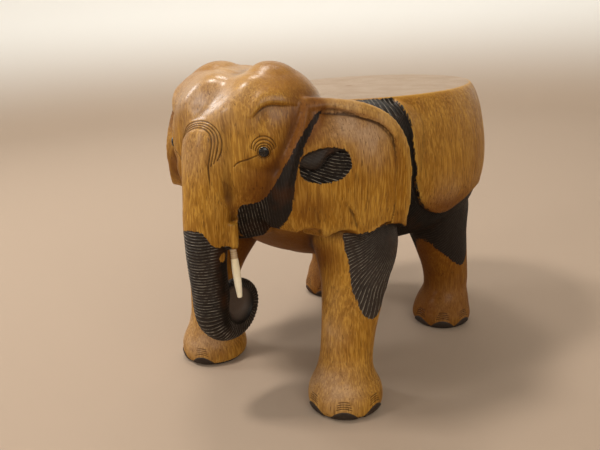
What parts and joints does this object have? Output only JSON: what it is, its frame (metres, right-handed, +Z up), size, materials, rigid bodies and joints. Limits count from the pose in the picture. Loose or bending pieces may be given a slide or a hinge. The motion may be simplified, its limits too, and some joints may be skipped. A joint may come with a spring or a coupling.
{
  "type": "carved elephant stool",
  "caption": "Low wooden stool carved as a standing elephant with an oval seat for a back, a curled trunk, set-in tusks and bead eyes.",
  "frame": {"origin": "on the floor at the centre of the overall length and width, between the four feet", "axes": "+Z up; the elephant faces -Y, so +Y runs from trunk to rump; +X is the elephant's own left side"},
  "size_m": [0.2832, 0.4435, 0.342],
  "materials": {
    "carved_wood": "satin varnish over golden-brown stain, with near-black stain on the trunk, jaw, ear root, elbows and thighs",
    "tusk": "smooth cream, slightly polished",
    "eye": "polished black bead",
    "foot_pad": "matte"
  },
  "bodies": {
    "root": {"carved_body": "carved_wood", "tusk_left": "tusk", "tusk_right": "tusk", "eye_left": "eye", "eye_right": "eye", "foot_pad_front_left": "foot_pad", "foot_pad_front_right": "foot_pad", "foot_pad_rear_left": "foot_pad", "foot_pad_rear_right": "foot_pad"}
  },
  "joints": []
}
